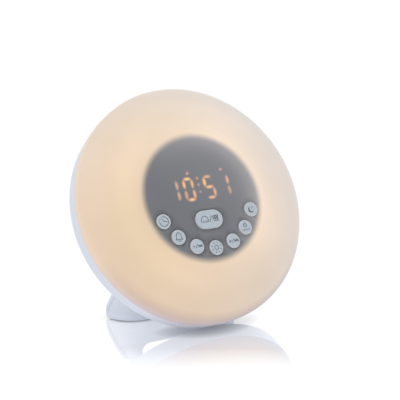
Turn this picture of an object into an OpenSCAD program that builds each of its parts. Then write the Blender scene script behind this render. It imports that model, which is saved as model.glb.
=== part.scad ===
// Sunrise alarm clock: a round lamp that leans back on a bracket plugged into its rear shell.
// Millimetres. X to the right, Y to the back, Z up; the origin is on the table under the middle
// of the clock's bounding box. Most pieces are drawn in the case's own frame: its z axis is the
// lamp's axis, positive to the front, with z = 0 at the seam between diffuser and rear shell.

/* [Case] */
// Diameter at the seam
case_d = 170; // [160:1:190]
// Lean of the lamp back from upright, in degrees
lean = 29.1; // [27:0.1:31]
// Height of the diffuser's nearly straight flank
flank_h = 4.5; // [3:0.5:6]
// Radius of the tight bend above the flank
corner_r = 8.3; // [6:0.1:10]
// Turn of that tight bend, in degrees
corner_turn = 36; // [32:1:40]
// Height of the diffuser's shoulder above the seam
front_h = 21.1; // [20:0.1:24]
// Slope at the shoulder of the shallow crown that closes the front, in degrees
crown_turn = 2.5; // [1.5:0.1:3]
// Wall of the diffuser
dome_wall = 2; // [1.6:0.1:2.2]
// Depth of the white rim strip behind the seam
rim_depth = 13.7; // [12:0.1:15]
// Narrowing of the rim strip's radius towards the back
rim_taper = 1.5; // [1:0.1:3]
// Rounding of the rim strip's rear edge
rim_edge_r = 1; // [0.5:0.1:1.5]
// Depth of the flat back behind the seam
back_depth = 34; // [33:0.5:36]
// Diameter of the flat back, to its unrounded edge
back_d = 103; // [101:1:108]
// Rounding of the flat back's edge
back_edge_r = 6; // [3:0.5:7]
// Wall of the rear shell
shell_wall = 2.2; // [1.8:0.1:2.6]
// Depth of the step that takes the diffuser's spigot
rebate_h = 3; // [2.8:0.1:3.6]
// Thickness of that step's outer lip at the seam
lip_wall = 1.4; // [1.2:0.1:1.5]
// Thickness of the diffuser's spigot
spigot_wall = 1.4; // [1.2:0.1:1.6]

/* [Panel] */
// Diameter of the dark panel behind the diffuser
panel_d = 88.2; // [86:0.2:92]
// Thickness of the panel
mask_wall = 1.4; // [1.2:0.1:1.6]
// Gap between the panel and the diffuser
panel_gap = 0.35; // [0.2:0.05:0.6]
// Thickness of the circuit boards
board_t = 1.6; // [1.2:0.2:1.8]

/* [Buttons] */
// Diameter of the round buttons
button_d = 10.5; // [9.5:0.1:11]
// Distance of the round buttons' centres from the panel's edge
button_margin = 6.8; // [6.5:0.1:7.6]
// Centre of that arc above the lamp's axis
button_ring_y = 0.9; // [0:0.1:1.2]
// Angle from one round button to the next
button_pitch = 22.4; // [22:0.1:24]
// Height of the round buttons above the diffuser
button_proud = 0.7; // [0.4:0.1:1.5]
// Travel of each button
button_travel = 0.6; // [0.4:0.05:0.7]
// Width of the snooze button
snooze_w = 21.6; // [19:0.1:24]
// Height of the snooze button
snooze_h = 13.3; // [12:0.1:14]
// Centre of the snooze button below the lamp's axis
snooze_drop = 16.3; // [16:0.1:16.8]
// Gap between a button and its holes
button_gap = 0.25; // [0.2:0.05:0.35]
// Width of the flange that keeps a button in
flange_w = 0.95; // [0.8:0.05:1.1]
// Thickness of that flange
flange_t = 0.9; // [0.7:0.1:1.1]

/* [Display] */
// Centre of the display to the right of the lamp's axis
display_x = 0; // [-1:0.5:1]
// Centre of the display above the lamp's axis
display_y = 6.7; // [6.4:0.1:8.6]
// Distance between the two digits of a pair
digit_pitch = 12; // [11:0.1:12.4]
// Distance between the two pairs, middle to middle
pair_pitch = 28; // [27:0.5:29]
// Distance between a digit's two columns of segments
digit_w = 6.4; // [5.8:0.1:6.8]
// Distance between a digit's top and bottom segments
digit_h = 14.8; // [13.8:0.1:15.2]
// Width of a segment
segment_w = 1.7; // [1.3:0.1:1.9]

/* [Speaker] */
// Diameter of the speaker
speaker_d = 45; // [42:0.5:46]
// Centre of the speaker above the lamp's axis
speaker_y = 20.5; // [20:0.1:21]
// Diameter of a hole in the speaker grille
grille_hole_d = 2.4; // [2:0.1:2.8]
// Distance between rings of grille holes
grille_pitch = 4.6; // [4:0.1:5]
// Number of rings round the middle hole
grille_rings = 3; // [2:1:3]

/* [Battery bay] */
// Diameter of a backup cell
cell_d = 10.5; // [10.2:0.1:10.6]
// Length of a backup cell without its pole
cell_l = 43.5; // [42:0.5:44]
// Top edge of the battery bay below the lamp's axis
bay_top = 5; // [4.6:0.1:5.4]
// Thickness of the battery door
door_t = 2; // [1.8:0.1:2.2]
// Diameter of the door's hinge pins
pin_d = 1; // [0.8:0.1:1.2]

/* [Stand] */
// Width of the stand's foot on the table
foot_w = 108.5; // [104:0.5:112]
// Radius of the foot's corners, seen from above
foot_corner_r = 22.4; // [20.4:0.1:24.4]
// Distance of the foot's front behind the lamp's centre
foot_front = 4; // [3:0.5:8]
// Wall of the stand
foot_wall = 2.6; // [2.2:0.1:3]
// Height of the bar that joins the stand's arms
bar_h = 18.5; // [15:0.5:19.5]
// Width of the gap between the arms
arm_gap = 66; // [62:0.5:67]
// Inward slope of the stand's walls, in degrees
foot_draft = 9; // [7:0.5:10]
// Width of a peg that holds the stand in the rear shell
peg_w = 8; // [7:0.1:9]
// Height of that peg
peg_h = 6; // [5:0.1:7]
// Length of peg inside the rear shell
peg_depth = 12; // [9:0.5:13]
// Distance of each peg from the middle
peg_x = 38.5; // [38:0.1:39]
// Distance of each peg below the lamp's axis
peg_drop = 42; // [41:0.1:43]
// Thickness of the rubber pads under the stand
pad_t = 0.8; // [0.6:0.1:1.2]

/* [Hidden] */

$fn = 96;
eps = 0.01;
fit_gap = 0.2;       // between fixed pieces of the case
slide_gap = 0.15;    // round a piece that slides
pin_gap = 0.05;      // radial, round a hinge pin
screw_gap = 0.1;     // radial, round a screw
arc_steps = 12;      // faces along each drawn arc

case_r = case_d / 2;
rim_back_r = case_r - rim_taper;
back_r = back_d / 2;
panel_r = panel_d / 2;

// ---- plane geometry helpers ----
function unit2(v) = v / norm(v);
function arc_points(c, r, a0, a1) =
    [for (i = [0:arc_steps]) let (a = a0 + (a1 - a0) * i / arc_steps) c + r * [cos(a), sin(a)]];
function turn_between(a0, a1) = let (d = a1 - a0) d > 180 ? d - 360 : (d < -180 ? d + 360 : d);
// Points of a rounding of radius r at corner q between neighbours p and s
function rounding(p, q, s, r) =
    let (
        a = unit2(p - q),
        b = unit2(s - q),
        half = acos(a * b) / 2,
        c = q + unit2(a + b) * r / sin(half),
        t0 = q + a * r / tan(half) - c,
        t1 = q + b * r / tan(half) - c,
        a0 = atan2(t0[1], t0[0]),
        d = turn_between(a0, atan2(t1[1], t1[0]))
    ) arc_points(c, r, a0, a0 + d);
// Corner q of the path p, q, s moved in by w, to the left of the direction of travel
function inset_corner(p, q, s, w) =
    let (a = unit2(q - p), b = unit2(s - q), na = [-a[1], a[0]], nb = [-b[1], b[0]])
    q + w * (na + nb) / (1 + na * nb);
function reversed(v) = [for (i = [len(v) - 1:-1:0]) v[i]];

// ---- the diffuser's outline: flank, tight bend, broad shoulder, shallow crown ----
shoulder_r = (front_h - flank_h - corner_r * sin(corner_turn)) / (1 - sin(corner_turn));
corner_c = [case_r - corner_r, flank_h];
shoulder_c = corner_c + (corner_r - shoulder_r) * [cos(corner_turn), sin(corner_turn)];
crown_end = shoulder_c + shoulder_r * [sin(crown_turn), cos(crown_turn)];
crown_r = crown_end[0] / sin(crown_turn);
crown_c = [0, crown_end[1] - crown_r * cos(crown_turn)];
function crown_z(r) = crown_c[1] + sqrt(crown_r * crown_r - r * r);
function dome_path(inset) = concat(
    arc_points(corner_c, corner_r - inset, 0, corner_turn),
    arc_points(shoulder_c, shoulder_r - inset, corner_turn, 90 - crown_turn),
    arc_points(crown_c, crown_r - inset, 90 - crown_turn, 90)
);

// ---- the rear shell's outline: rim strip, cone, flat back ----
shell_corners = [[case_r, 0], [rim_back_r, -rim_depth], [back_r, -back_depth], [0, -back_depth]];
function shell_path(inset, r_rim, r_back) =
    let (
        c = shell_corners,
        rim_in = inset_corner(c[0], c[1], c[2], -inset),
        back_in = inset_corner(c[1], c[2], c[3], -inset),
        top_in = [c[0][0] - inset, 0],
        mid_in = [0, -back_depth + inset]
    ) concat(rounding(top_in, rim_in, back_in, r_rim), rounding(rim_in, back_in, mid_in, r_back));
cone_slope = (back_depth - rim_depth) / (rim_back_r - back_r);

// ---- where the lamp stands ----
// Height of the lamp's centre, so that the rim's rear edge just touches the table
rim_touch = rounding(shell_corners[0], shell_corners[1], shell_corners[2], rim_edge_r);
lamp_h = max([for (p = rim_touch) p[0] * cos(lean) - p[1] * sin(lean)]);
// Farthest reach of the lamp to the front and to the back of its centre
reach_front = max([for (p = dome_path(0)) p[0] * sin(lean) + p[1] * cos(lean)]);
reach_back = max([for (p = shell_path(0, rim_edge_r, back_edge_r))
    p[0] * sin(lean) - p[1] * cos(lean)]);
lamp_y = (reach_front - reach_back) / 2;

// ---- levels along the lamp's axis ----
mask_z = crown_z(panel_r) - dome_wall - panel_gap;
flange_z = mask_z - mask_wall - slide_gap;
plunger_top = flange_z - flange_t;
switch_h = 3.5;
switch_floor = 0.6;
press_room = 0.9;      // left under a pressed button's flange
pressed_z = plunger_top - button_travel - slide_gap;
flange_room_z = mask_z - mask_wall;
board_z = plunger_top - switch_h - button_travel - press_room;
frame_t = 1.6;
main_board_z = -8;
seam_gap = 0.2;

// ---- diffuser seat ----
spigot_r = case_r - lip_wall - fit_gap;
spigot_end = -rebate_h + fit_gap;
bead_z = -rebate_h / 2;
bead_h = 0.4;
bead_half = 0.3;
frame_r = spigot_r - spigot_wall - 2 * fit_gap;

// ---- buttons ----
BUTTONS = 7;
button_r = button_d / 2;
button_ring_r = panel_r - button_margin;
button_top = crown_z(button_ring_r) + button_proud;
flange_r = button_r + flange_w;
function button_at(i) = let (a = -90 + (i - (BUTTONS - 1) / 2) * button_pitch)
    [button_ring_r * cos(a), button_ring_y + button_ring_r * sin(a)];
snooze_at = [0, -snooze_drop];
switch_w = 6;
plunger_d = 3.5;
edge_round = 0.7;

// ---- display ----
digit_x = [for (p = [-1, 1]) for (d = [-1, 1]) display_x + p * pair_pitch / 2 + d * digit_pitch / 2];
end_gap = 0.45;
h_len = digit_w - 2 * end_gap;
v_len = digit_h / 2 - 2 * end_gap;
dot_d = 1.7;
colon_rise = 2.6;
module_margin = 5;
module_w = pair_pitch + digit_pitch + digit_w + 2 * module_margin;
module_h = digit_h + 2 * module_margin;
module_gap = 0.3;
segment_rise = 0.4;     // of the segments' fronts over the panel
segment_gap = 0.1;
// Segment i of a digit, as its centre and whether it lies flat: top, upper left, upper right,
// middle, lower left, lower right, bottom
SEGMENTS = [
    [[0, 1], true], [[-1, 0.5], false], [[1, 0.5], false], [[0, 0], true],
    [[-1, -0.5], false], [[1, -0.5], false], [[0, -1], true]
];
// The time shown, 10:51, as lit segments of each digit
LIT = [[2, 5], [0, 1, 2, 4, 5, 6], [0, 1, 3, 5, 6], [2, 5]];
// Indicator lamps: alarm one, alarm two and the one between the pairs of digits
dot_rise = 11.4;
low_dot_rise = 7.1;
alarm_dot_x = 1.4;
low_dot_x = 8;
LIT_DOTS = [[digit_x[1] + alarm_dot_x, display_y + dot_rise], [digit_x[3], display_y + dot_rise],
            [digit_x[2] - low_dot_x, display_y + low_dot_rise]];

// ---- screw posts ----
post_r = 2.2;
m2_r = 0.85;
m3_r = 1.4;
// Two of the posts stand midway between the snooze button's round ends and the buttons beside them
snooze_end = [(snooze_w - snooze_h) / 2, -snooze_drop];
post_way = button_at(BUTTONS - 2) - snooze_end;
low_post = snooze_end + unit2(post_way) * (norm(post_way) + snooze_h / 2 + flange_w - flange_r) / 2;
side_post_ring = panel_r - mask_wall - post_r - 0.6;
side_post_turn = 18;
mask_posts = [
    [side_post_ring * cos(side_post_turn), side_post_ring * sin(side_post_turn)],
    [-side_post_ring * cos(side_post_turn), side_post_ring * sin(side_post_turn)],
    low_post,
    [-low_post[0], low_post[1]]
];
mask_boss_r = 2.6;
mask_boss_h = 7;
mask_boss_ring = panel_r - mask_wall - mask_boss_r + 0.4;
mask_boss_turns = [90, 210, 330];
case_boss_r = 4.6;
case_screw_ring = 60;
case_screw_turns = [50, 130, -8, 188];
case_post_z = -8;
case_seat = 2;
well_r = 3.3;
head_r = 2.7;
head_h = 2;
small_head_r = 1.9;
small_head_h = 1.3;

// ---- light board ----
light_board_in = panel_r + 2;
light_board_out = frame_r - 4;
led_count = 24;
led_w = 5;
led_h = 1.4;

// ---- main board ----
main_w = 66;
main_h = 44;
main_y = -18;
main_post_x = main_w / 2 - 4;
main_post_y = main_h / 2 - 4;
cable_hole_r = 22;
cable_w = 12;
cable_t = 0.8;
cable_y = -6;
header_t = 3;
header_h = 2.4;

// ---- speaker ----
speaker_r = speaker_d / 2;
basket_t = 1.2;
basket_rim = 4;
basket_h = 10;
magnet_r = 13;
magnet_h = 7;
speaker_post_ring = speaker_r + m2_r + 0.5;
speaker_post_turns = [0, 60, 120, 180];
lead_r = 0.6;
lead_x = 4;

// ---- battery bay ----
CELLS = 3;
cell_gap = 0.3;
bay_wall = 1.5;
contact_room = 3.2;
pole_l = 1;
pole_r = 1.9;
bay_w = cell_l + pole_l + contact_room;
bay_h = CELLS * (cell_d + cell_gap) + cell_gap;
bay_mid = -bay_top - bay_h / 2;
door_gap = 0.25;
ledge_w = 1.2;
door_inner_z = -back_depth + door_t;
cell_z = door_inner_z + cell_gap + cell_d / 2;
bay_floor_z = cell_z + cell_d / 2 + cell_gap;
contact_t = 0.5;
pin_z = -back_depth + door_t / 2;
pin_y = -bay_top - door_gap - door_t / 2;
pin_l = 1.2;
hinge_wall = ledge_w + door_gap + pin_l + 0.8;

// ---- power jack ----
jack_at = [36, -14];
jack_w = 9;
jack_h = 11;
jack_l = 14;
jack_nose_r = 4;
jack_bore_r = 2.8;
jack_pin_r = 1;
jack_recess = 0.6;
jack_collar = 8;

// ---- stand ----
draft_slope = tan(foot_draft);
foot_arc_x = foot_w / 2 - foot_corner_r;
foot_arc_y = lamp_y + foot_front + foot_corner_r;
foot_top = 30;
flare_w = 1.4;
flare_h = 3.6;
heel_reach = 26.4;      // from the foot's front to where its sloping rear edges meet the table
heel_slope = 0.5;       // forward run of those edges per unit of height
heel_r = 5.5;
edge_bead = 0.7;
edge_bead_w = 3;
sole_w = 7;
sole_t = 2;
window_r = 6;
stand_gap = 0.3;
peg_root = 3;
boss_edge = 1.5;        // width of the boss round each peg
boss_l = 12;
socket_wall = 1.6;
pad_inset = 0.8;
peg_r = norm([peg_x, peg_drop]);
peg_face_z = -rim_depth - (rim_back_r - peg_r) * cone_slope;

// Places a piece that is drawn in the lamp's own frame
module on_lamp() {
    translate([0, lamp_y, lamp_h]) rotate([90 - lean, 0, 0]) children();
}
module at_each(places) {
    for (p = places) translate([p[0], p[1], 0]) children();
}
module at_turns(ring, turns) {
    for (a = turns) rotate([0, 0, a]) translate([ring, 0, 0]) children();
}
// Upright bar with round ends, centred, w wide and h high over all
module pill(w, h, z0, z1) {
    c = [(w - h) / 2, 0];
    translate([0, 0, z0]) linear_extrude(height = z1 - z0)
        polygon(concat(arc_points(c, h / 2, -90, 90), arc_points(-c, h / 2, 90, 270)));
}
module block(w, d, z0, z1) {
    translate([-w / 2, -d / 2, z0]) cube([w, d, z1 - z0]);
}
module tube(r_out, r_in, z0, z1) {
    difference() {
        translate([0, 0, z0]) cylinder(h = z1 - z0, r = r_out);
        translate([0, 0, z0 - eps]) cylinder(h = z1 - z0 + 2 * eps, r = r_in);
    }
}
// Screw along z with its cross-slotted head below z0 and its point at z1
module screw(r, r_head, h_head, z0, z1) {
    translate([0, 0, z0 - h_head / 4]) cylinder(h = z1 - z0 + h_head / 4, r = r);
    difference() {
        translate([0, 0, z0 - h_head]) cylinder(h = h_head, r = r_head);
        for (w = [[r_head, r_head / 4], [r_head / 4, r_head]])
            block(w[0] * 4 / 3, w[1] * 4 / 3, z0 - 2 * h_head, z0 - h_head / 2);
    }
}

// ---- case ----
module diffuser_dome() {
    wall_in = case_r - dome_wall;
    spigot_in = spigot_r - spigot_wall;
    section = concat(
        [[spigot_r, spigot_end], [spigot_r, bead_z - 2 * bead_half], [spigot_r + bead_h, bead_z - bead_half],
         [spigot_r + bead_h, bead_z], [spigot_r, bead_z + bead_half], [spigot_r, seam_gap],
         [case_r, seam_gap]],
        dome_path(0), reversed(dome_path(dome_wall)),
        [[wall_in, seam_gap + rebate_h / 2], [spigot_in, seam_gap], [spigot_in, spigot_end]]
    );
    color("#f6e3c4") on_lamp() difference() {
        rotate_extrude($fn = 180) polygon(section);
        for (i = [0:BUTTONS - 1]) translate(button_at(i))
            translate([0, 0, mask_z]) cylinder(h = 3 * dome_wall, r = button_r + button_gap);
        translate(snooze_at) pill(snooze_w + 2 * button_gap, snooze_h + 2 * button_gap,
            mask_z, mask_z + 3 * dome_wall);
    }
}

module rear_shell() {
    rebate_r = case_r - lip_wall;
    ledge_in = case_r - shell_wall - rebate_h * rim_taper / rim_depth;
    section = concat(
        [[rebate_r, 0], [case_r, 0]],
        shell_path(0, rim_edge_r, back_edge_r),
        [[0, -back_depth], [0, -back_depth + shell_wall]],
        reversed(shell_path(shell_wall, rim_edge_r, back_edge_r - shell_wall)),
        [[ledge_in, -rebate_h], [rebate_r, -rebate_h], [rebate_r, bead_z - 3 * bead_half],
         [rebate_r + bead_h, bead_z - 2 * bead_half], [rebate_r + bead_h, bead_z + bead_half],
         [rebate_r, bead_z + 2 * bead_half]]
    );
    color("#eef0f4") on_lamp() difference() {
        union() {
            rotate_extrude($fn = 180) polygon(section);
            intersection() {
                shell_fill();
                union() {
                    at_turns(case_screw_ring, case_screw_turns)
                        translate([0, 0, -back_depth])
                            cylinder(h = back_depth + case_post_z, r = case_boss_r);
                    translate([0, bay_mid, 0]) block(bay_w + 2 * hinge_wall, bay_h + 2 * bay_wall,
                        -back_depth, bay_floor_z + bay_wall);
                    stand_sockets(socket_wall, peg_face_z + peg_depth + slide_gap + socket_wall);
                    translate(jack_at) block(jack_w + 2 * bay_wall, jack_h + 2 * bay_wall,
                        -back_depth, -back_depth + jack_collar);
                    translate([0, speaker_y, -back_depth])
                        at_turns(speaker_post_ring, speaker_post_turns)
                            cylinder(h = shell_wall + basket_t, r = post_r);
                }
            }
        }
        at_turns(case_screw_ring, case_screw_turns) {
            translate([0, 0, -back_depth - eps])
                cylinder(h = back_depth + case_post_z - case_seat + eps, r = well_r);
            translate([0, 0, -back_depth]) cylinder(h = back_depth, r = m3_r + screw_gap);
        }
        translate([0, bay_mid, 0]) {
            block(bay_w, bay_h, -back_depth - shell_wall, bay_floor_z);
            block(bay_w + 2 * ledge_w + 2 * door_gap, bay_h, -back_depth - shell_wall,
                door_inner_z + door_gap);
        }
        translate([0, pin_y, pin_z]) rotate([0, 90, 0])
            cylinder(h = bay_w + 2 * (ledge_w + pin_l + door_gap), r = pin_d / 2 + pin_gap, center = true);
        stand_sockets(0, peg_face_z + peg_depth + slide_gap);
        translate(jack_at) {
            block(jack_w + 2 * fit_gap, jack_h + 2 * fit_gap, -back_depth + shell_wall, 0);
            translate([0, 0, -back_depth - shell_wall])
                cylinder(h = 3 * shell_wall, r = jack_nose_r + fit_gap);
        }
        translate([0, speaker_y, 0]) {
            translate([0, 0, -back_depth + shell_wall]) cylinder(h = back_depth, r = speaker_r + fit_gap);
            for (ring = [0:grille_rings]) for (i = [0:max(1, 6 * ring) - 1])
                rotate([0, 0, i * 60 / max(1, ring)])
                    translate([ring * grille_pitch, 0, -back_depth - shell_wall])
                        cylinder(h = 3 * shell_wall, d = grille_hole_d);
            at_turns(speaker_post_ring, speaker_post_turns)
                translate([0, 0, -back_depth + shell_wall / 2])
                    cylinder(h = back_depth, r = m2_r + screw_gap);
        }
    }
}

// Everything inside the rear shell's outer skin
module shell_fill() {
    rotate_extrude($fn = 180) polygon(concat([[0, 0], [case_r - shell_wall / 2, 0]],
        shell_path(shell_wall / 2, rim_edge_r, back_edge_r - shell_wall / 2),
        [[0, -back_depth + shell_wall / 2]]));
}

// Two upright boxes round the stand's pegs, each larger than its hole by w
module stand_sockets(w, z1) {
    for (s = [-1, 1]) translate([s * peg_x, -peg_drop, 0])
        block(peg_w + 2 * slide_gap + 2 * w, peg_h + 2 * slide_gap + 2 * w, -2 * back_depth, z1);
}

// White plate across the case that carries the light board, the panel and the main board
module reflector_frame() {
    color("#f4f4f2") on_lamp() difference() {
        union() {
            tube(frame_r, cable_hole_r, -frame_t, 0);
            at_turns(case_screw_ring, case_screw_turns) translate([0, 0, case_post_z])
                cylinder(h = -case_post_z - frame_t / 2, r = case_boss_r - 1);
            main_posts() translate([0, 0, main_board_z + board_t])
                cylinder(h = -main_board_z - board_t - frame_t / 2, r = post_r);
        }
        at_turns(case_screw_ring, case_screw_turns)
            translate([0, 0, case_post_z - eps]) cylinder(h = -case_post_z - frame_t, r = m3_r + screw_gap);
        main_posts() translate([0, 0, main_board_z])
            cylinder(h = -main_board_z - frame_t, r = m2_r + screw_gap);
        at_turns(mask_boss_ring, mask_boss_turns)
            translate([0, 0, -2 * frame_t]) cylinder(h = 3 * frame_t, r = m2_r + screw_gap);
    }
}
module main_posts() {
    for (x = [-1, 1]) for (y = [-1, 1]) translate([x * main_post_x, main_y + y * main_post_y, 0]) children();
}

module light_board() {
    color("#e9ede6") on_lamp() tube(light_board_out, light_board_in, 0, board_t);
}

module light_leds() {
    color("#ffd27a") on_lamp()
        at_turns((light_board_in + light_board_out) / 2, [for (i = [0:led_count - 1]) i * 360 / led_count])
            block(led_w, led_w, board_t, board_t + led_h);
}

// ---- panel and display ----
module display_mask() {
    cup = [[0, mask_z - mask_wall], [panel_r - mask_wall, mask_z - mask_wall], [panel_r - mask_wall, 0],
           [panel_r, 0], [panel_r, mask_z], [0, mask_z]];
    color("#5f6064") on_lamp() difference() {
        union() {
            rotate_extrude($fn = 180) polygon(cup);
            at_each(mask_posts) translate([0, 0, board_z])
                cylinder(h = mask_z - mask_wall / 2 - board_z, r = post_r);
            at_turns(mask_boss_ring, mask_boss_turns) cylinder(h = mask_boss_h, r = mask_boss_r);
        }
        at_each(mask_posts) translate([0, 0, board_z - eps])
            cylinder(h = mask_z - mask_wall - board_z, r = m2_r + screw_gap);
        at_turns(mask_boss_ring, mask_boss_turns) translate([0, 0, -eps])
            cylinder(h = mask_boss_h - mask_wall, r = m2_r + screw_gap);
        for (i = [0:BUTTONS - 1]) translate(button_at(i)) {
            translate([0, 0, mask_z - 2 * mask_wall]) cylinder(h = 3 * mask_wall, r = button_r + button_gap);
            translate([0, 0, pressed_z]) cylinder(h = flange_room_z - pressed_z, r = flange_r + button_gap);
        }
        translate(snooze_at) pill(snooze_w + 2 * button_gap, snooze_h + 2 * button_gap,
            mask_z - 2 * mask_wall, mask_z + mask_wall);
        translate([0, 0, mask_z - 2 * mask_wall]) linear_extrude(height = 3 * mask_wall) {
            for (d = [0:len(digit_x) - 1]) for (s = [0:len(SEGMENTS) - 1]) segment(d, s, segment_gap);
            dots(segment_gap);
        }
    }
}

// Outline of segment s of digit d, grown by grow
module segment(d, s, grow) {
    flat = SEGMENTS[s][1];
    len_2 = (flat ? h_len : v_len) / 2 + grow;
    w_2 = segment_w / 2 + grow;
    at = SEGMENTS[s][0];
    translate([digit_x[d] + at[0] * digit_w / 2, display_y + at[1] * digit_h / 2])
        rotate([0, 0, flat ? 0 : 90]) polygon([[-len_2, 0], [w_2 - len_2, w_2], [len_2 - w_2, w_2],
            [len_2, 0], [len_2 - w_2, -w_2], [w_2 - len_2, -w_2]]);
}
// Colon and indicator lamps, grown by grow
module dots(grow) {
    for (y = [-1, 1]) translate([display_x, display_y + y * colon_rise])
        circle(d = dot_d + 2 * grow, $fn = 32);
    for (p = LIT_DOTS) translate(p) circle(d = dot_d + 2 * grow, $fn = 32);
}
module segment_solids() {
    on_lamp() translate([0, 0, mask_z - mask_wall - module_gap])
        linear_extrude(height = mask_wall + module_gap + segment_rise) children();
}

module display_module() {
    color("#2c2d30") on_lamp() translate([display_x, display_y, 0])
        block(module_w, module_h, board_z, mask_z - mask_wall - module_gap);
}
module lit_segments() {
    color("#ffb347") segment_solids() {
        for (d = [0:len(digit_x) - 1]) for (s = LIT[d]) segment(d, s, 0);
        dots(0);
    }
}
module dark_segments() {
    color("#6d6a66") segment_solids()
        for (d = [0:len(digit_x) - 1]) for (s = [0:len(SEGMENTS) - 1])
            if (len(search(s, LIT[d])) == 0) segment(d, s, 0);
}

module button_board() {
    color("#2f7a4a") on_lamp() difference() {
        translate([0, 0, board_z - board_t]) cylinder(h = board_t, r = panel_r - mask_wall - 2 * fit_gap);
        at_each(mask_posts) translate([0, 0, board_z - 2 * board_t])
            cylinder(h = 3 * board_t, r = m2_r + screw_gap);
    }
}
module switch_cases() {
    color("#2a2a2c") on_lamp() at_each(concat([for (i = [0:BUTTONS - 1]) button_at(i)], [snooze_at]))
        difference() {
            block(switch_w, switch_w, board_z, board_z + switch_h);
            translate([0, 0, board_z + switch_floor]) cylinder(h = switch_h, d = plunger_d + 2 * screw_gap);
        }
}

// ---- buttons ----
module round_button(i) {
    rim = rounding([button_r, plunger_top], [button_r, button_top], [0, button_top], edge_round);
    color("#c3ccd4") on_lamp() translate(button_at(i)) rotate_extrude() polygon(concat(
        [[0, plunger_top], [flange_r, plunger_top], [flange_r, flange_z], [button_r, flange_z]],
        rim, [[0, button_top]]));
}
module snooze_button() {
    color("#c3ccd4") on_lamp() translate(snooze_at) {
        pill(snooze_w + 2 * flange_w, snooze_h + 2 * flange_w, plunger_top, flange_z);
        pill(snooze_w, snooze_h, flange_z - flange_t / 2, button_top - edge_round);
        hull() {
            pill(snooze_w, snooze_h, button_top - 2 * edge_round, button_top - edge_round);
            pill(snooze_w - edge_round, snooze_h - edge_round,
                button_top - edge_round, button_top - edge_round / 3);
            pill(snooze_w - 2 * edge_round, snooze_h - 2 * edge_round, button_top - edge_round, button_top);
        }
    }
}
module plunger(at) {
    z = board_z + switch_floor + button_travel + slide_gap;
    color("#d8d8d4") on_lamp() translate(at) translate([0, 0, z])
        cylinder(h = plunger_top - z, d = plunger_d, $fn = 48);
}

// ---- electronics ----
module main_board() {
    color("#2f7a4a") on_lamp() difference() {
        translate([0, main_y, 0]) block(main_w, main_h, main_board_z, main_board_z + board_t);
        main_posts() translate([0, 0, main_board_z - board_t])
            cylinder(h = 3 * board_t, r = m2_r + screw_gap);
    }
}
// Each chip: centre on the board, width, depth and height
CHIPS = [[[-12, -6], 10, 10, 1.6], [[8, -8], 7, 7, 1.2], [[18, 6], 6, 5, 1.4], [[-2, -16], 8, 3, 2]];
module board_chips() {
    color("#1d1d1f") on_lamp() translate([0, main_y, 0]) for (c = CHIPS) translate(c[0])
        block(c[1], c[2], main_board_z - c[3], main_board_z);
}
CAPACITORS = [[-24, -8], [-24, 2], [22, -8]];
cap_r = 3.15;
cap_h = 7.5;
module board_capacitors() {
    color("#33415c") on_lamp() translate([0, main_y, main_board_z - cap_h]) at_each(CAPACITORS)
        cylinder(h = cap_h, r = cap_r, $fn = 48);
}
module ribbon_cable() {
    low = main_board_z + board_t;
    high = board_z - board_t;
    color("#d9d5c8") on_lamp() translate([0, cable_y, 0]) {
        block(cable_w, cable_t, low + header_h / 2, high - header_h / 2);
        block(cable_w + header_t, header_t, low, low + header_h);
        block(cable_w + header_t, header_t, high - header_h, high);
    }
}

// ---- speaker ----
module on_speaker() {
    on_lamp() translate([0, speaker_y, -back_depth + shell_wall]) children();
}
module speaker_basket() {
    rim_in = speaker_r - basket_rim;
    neck = magnet_r / 2;
    color("#4a4a4c") on_speaker() rotate_extrude() polygon([
        [rim_in, 0], [speaker_r, 0], [speaker_r, basket_t], [rim_in + basket_t, basket_t],
        [magnet_r + basket_t, basket_h], [magnet_r + basket_t, basket_h + basket_t],
        [neck, basket_h + basket_t], [neck, basket_h], [magnet_r, basket_h], [rim_in, basket_t]]);
}
module speaker_magnet() {
    color("#55585c") on_speaker() translate([0, 0, basket_h + basket_t]) cylinder(h = magnet_h, r = magnet_r);
}
module speaker_cone() {
    edge = speaker_r - basket_rim - pin_gap;
    coil = magnet_r / 2 - 1;
    skin = 0.5;
    deep = basket_h * 0.6;
    color("#222224") on_speaker() rotate_extrude() polygon([
        [edge, skin], [edge - 2, 2 * skin], [edge - 3, skin], [coil, deep],
        [0, deep / 2], [0, deep / 2 + skin], [coil - skin, deep + skin], [coil - skin, basket_h],
        [coil, basket_h], [coil, deep + skin],
        [edge - 3, 2 * skin], [edge - 2, 3 * skin], [edge, 2 * skin]]);
}
module speaker_leads() {
    low = -back_depth + shell_wall + basket_t;
    color("#a63a2c") on_lamp() for (s = [-1, 1])
        translate([s * lead_x, speaker_y - speaker_r + basket_rim / 2, low])
            cylinder(h = main_board_z - low, r = lead_r, $fn = 24);
}

// ---- power and backup cells ----
module power_jack() {
    body_z = -back_depth + shell_wall;
    color("#202022") on_lamp() translate(jack_at) difference() {
        union() {
            block(jack_w, jack_h, body_z, body_z + jack_l);
            translate([0, 0, -back_depth + jack_recess]) cylinder(h = shell_wall, r = jack_nose_r);
        }
        translate([0, 0, -back_depth]) cylinder(h = jack_l * 2 / 3 + shell_wall, r = jack_bore_r);
    }
}
module power_jack_pin() {
    color("#c9c2a8") on_lamp() translate(jack_at) translate([0, 0, -back_depth + 2 * jack_recess])
        cylinder(h = jack_l * 2 / 3 + shell_wall - 2 * jack_recess, r = jack_pin_r, $fn = 32);
}
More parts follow.
